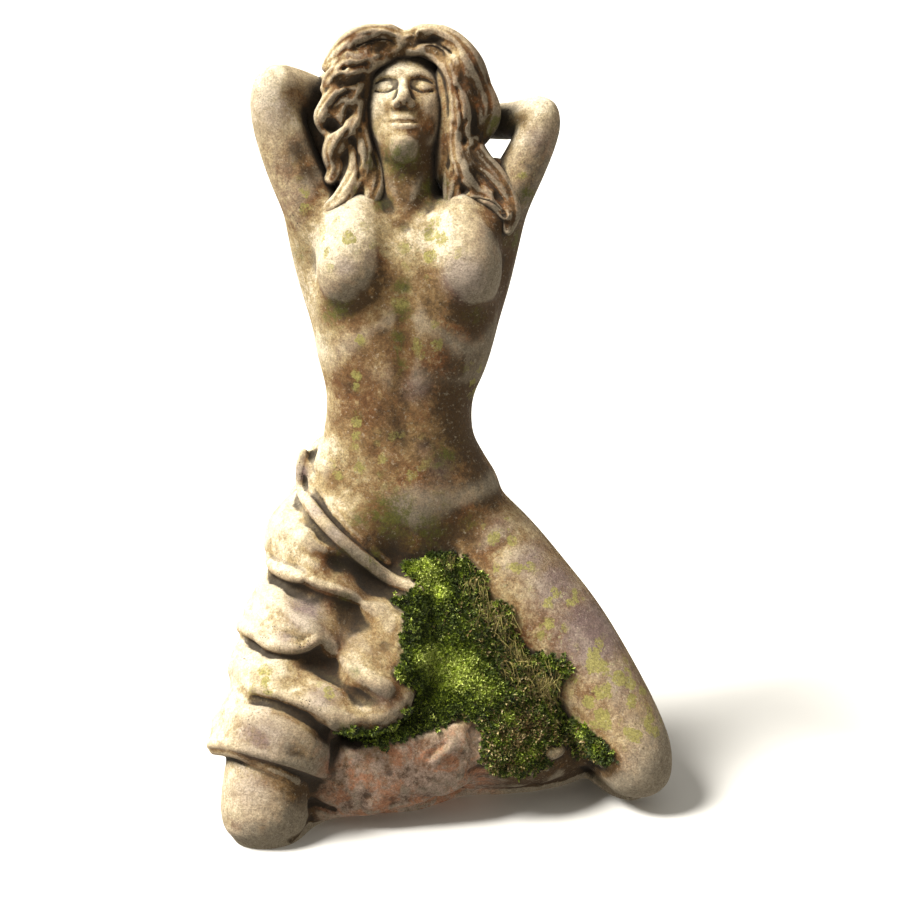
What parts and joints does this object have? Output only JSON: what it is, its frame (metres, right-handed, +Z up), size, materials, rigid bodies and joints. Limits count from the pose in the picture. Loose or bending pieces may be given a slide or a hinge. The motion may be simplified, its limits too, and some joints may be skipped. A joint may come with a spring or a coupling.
{
  "type": "kneeling female nude garden statue",
  "caption": "Garden statue of a kneeling nude woman, arms raised with hands behind her head, cloth draped over one hip and thigh, on a low rocky base.",
  "frame": {"origin": "on the ground, on the flat underside, under the middle of the base", "axes": "+Z up, -Y to the front where she faces, +X to her left side"},
  "size_m": [0.4757, 0.3953, 0.7867],
  "materials": {
    "cast_stone": "matte"
  },
  "bodies": {
    "root": {"figure": "cast_stone"}
  },
  "joints": []
}
